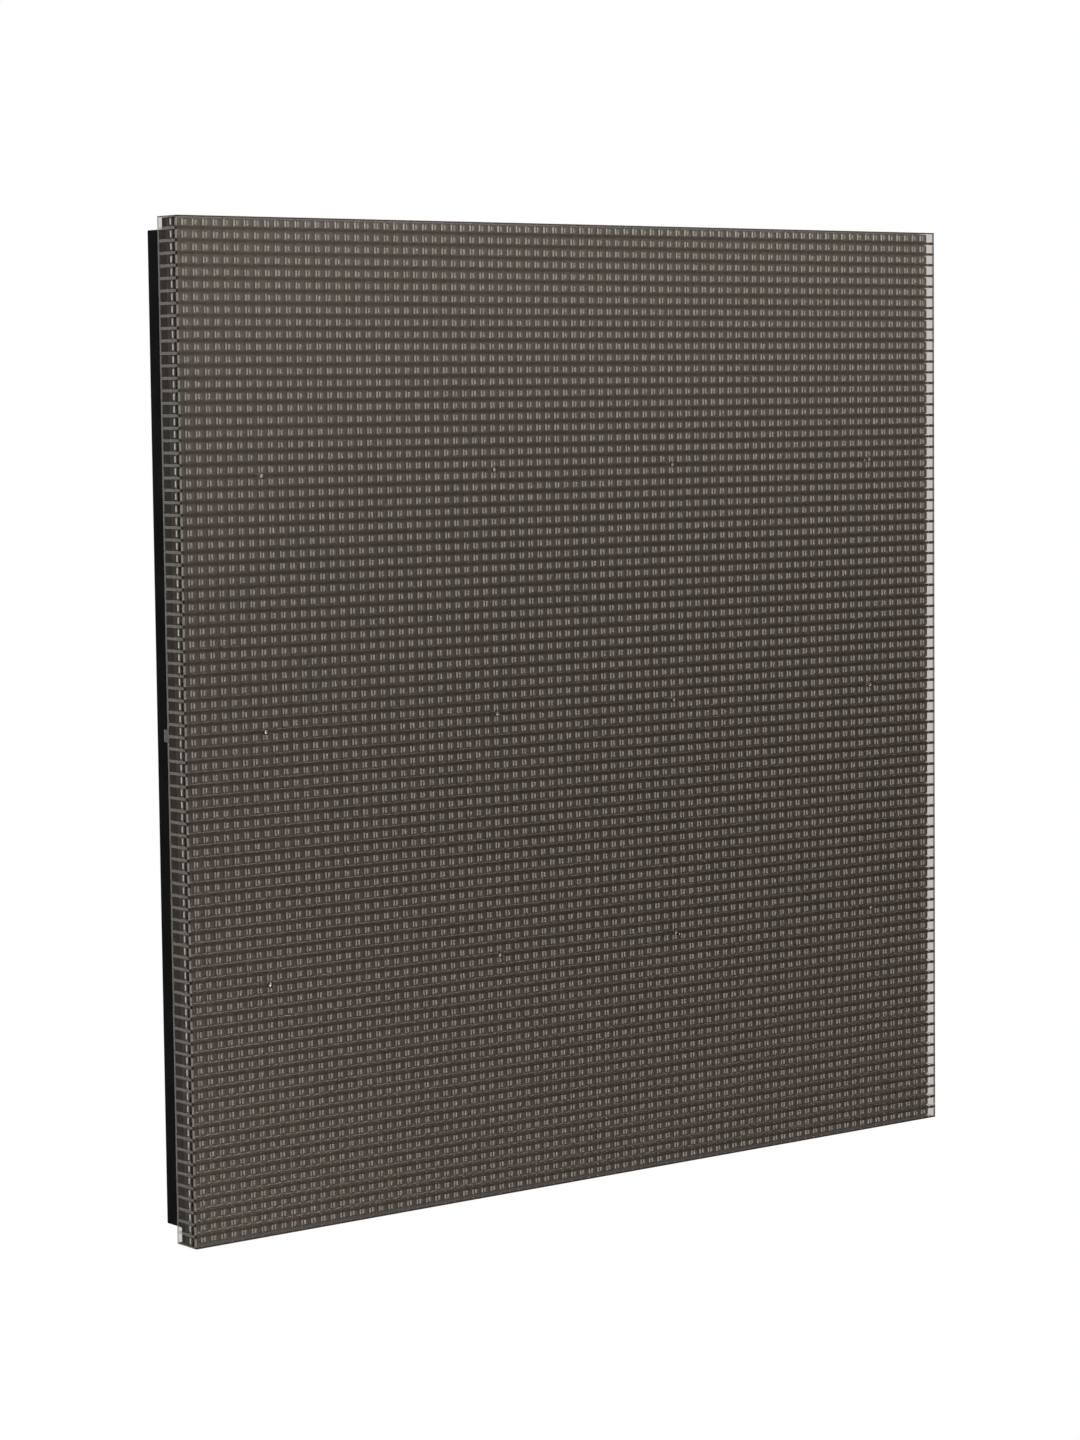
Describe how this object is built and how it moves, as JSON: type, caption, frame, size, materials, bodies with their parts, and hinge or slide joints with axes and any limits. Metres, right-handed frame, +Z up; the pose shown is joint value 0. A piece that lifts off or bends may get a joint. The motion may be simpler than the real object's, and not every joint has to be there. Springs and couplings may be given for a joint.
{
  "type": "led display module",
  "caption": "Square display module: smoked ribbed mask over a lamp board, on a black windowed rear frame with threaded inserts, data headers and a power header.",
  "frame": {"origin": "middle of the rear mounting face, between the four threaded inserts", "axes": "+X to the right seen from the front, +Y out of the rear face, +Z up"},
  "size_m": [0.25, 0.021, 0.25],
  "materials": {
    "smoked_mask": "smoked see-through moulding, glossy front",
    "board_black": "black board lacquer",
    "frame_black": "black moulding with a fine texture",
    "screw_steel": "plated steel",
    "insert_brass": "turned brass",
    "chip_black": "matt moulding compound",
    "lead_tin": "tinned metal",
    "capacitor_ceramic": "fired ceramic",
    "capacitor_can": "drawn aluminium",
    "header_black": "black moulding",
    "contact_gold": "gold-plated contact",
    "header_white": "natural nylon"
  },
  "bodies": {
    "root": {"front_mask": "smoked_mask", "lamp_board": "board_black", "rear_frame": "frame_black", "mask_screws": "screw_steel", "mounting_inserts": "insert_brass", "locating_pins": "screw_steel", "driver_chips": "chip_black", "row_switch_chips": "chip_black", "row_switch_leads": "lead_tin", "buffer_chips": "chip_black", "buffer_leads": "lead_tin", "bypass_capacitors": "capacitor_ceramic", "bypass_terminals": "lead_tin", "capacitor_cans": "capacitor_can", "capacitor_bases": "header_black", "resistor_arrays": "chip_black", "data_in_shell": "header_black", "data_in_pins": "contact_gold", "data_out_shell": "header_black", "data_out_pins": "contact_gold", "power_shell": "header_white", "power_pins": "lead_tin"}
  },
  "joints": []
}
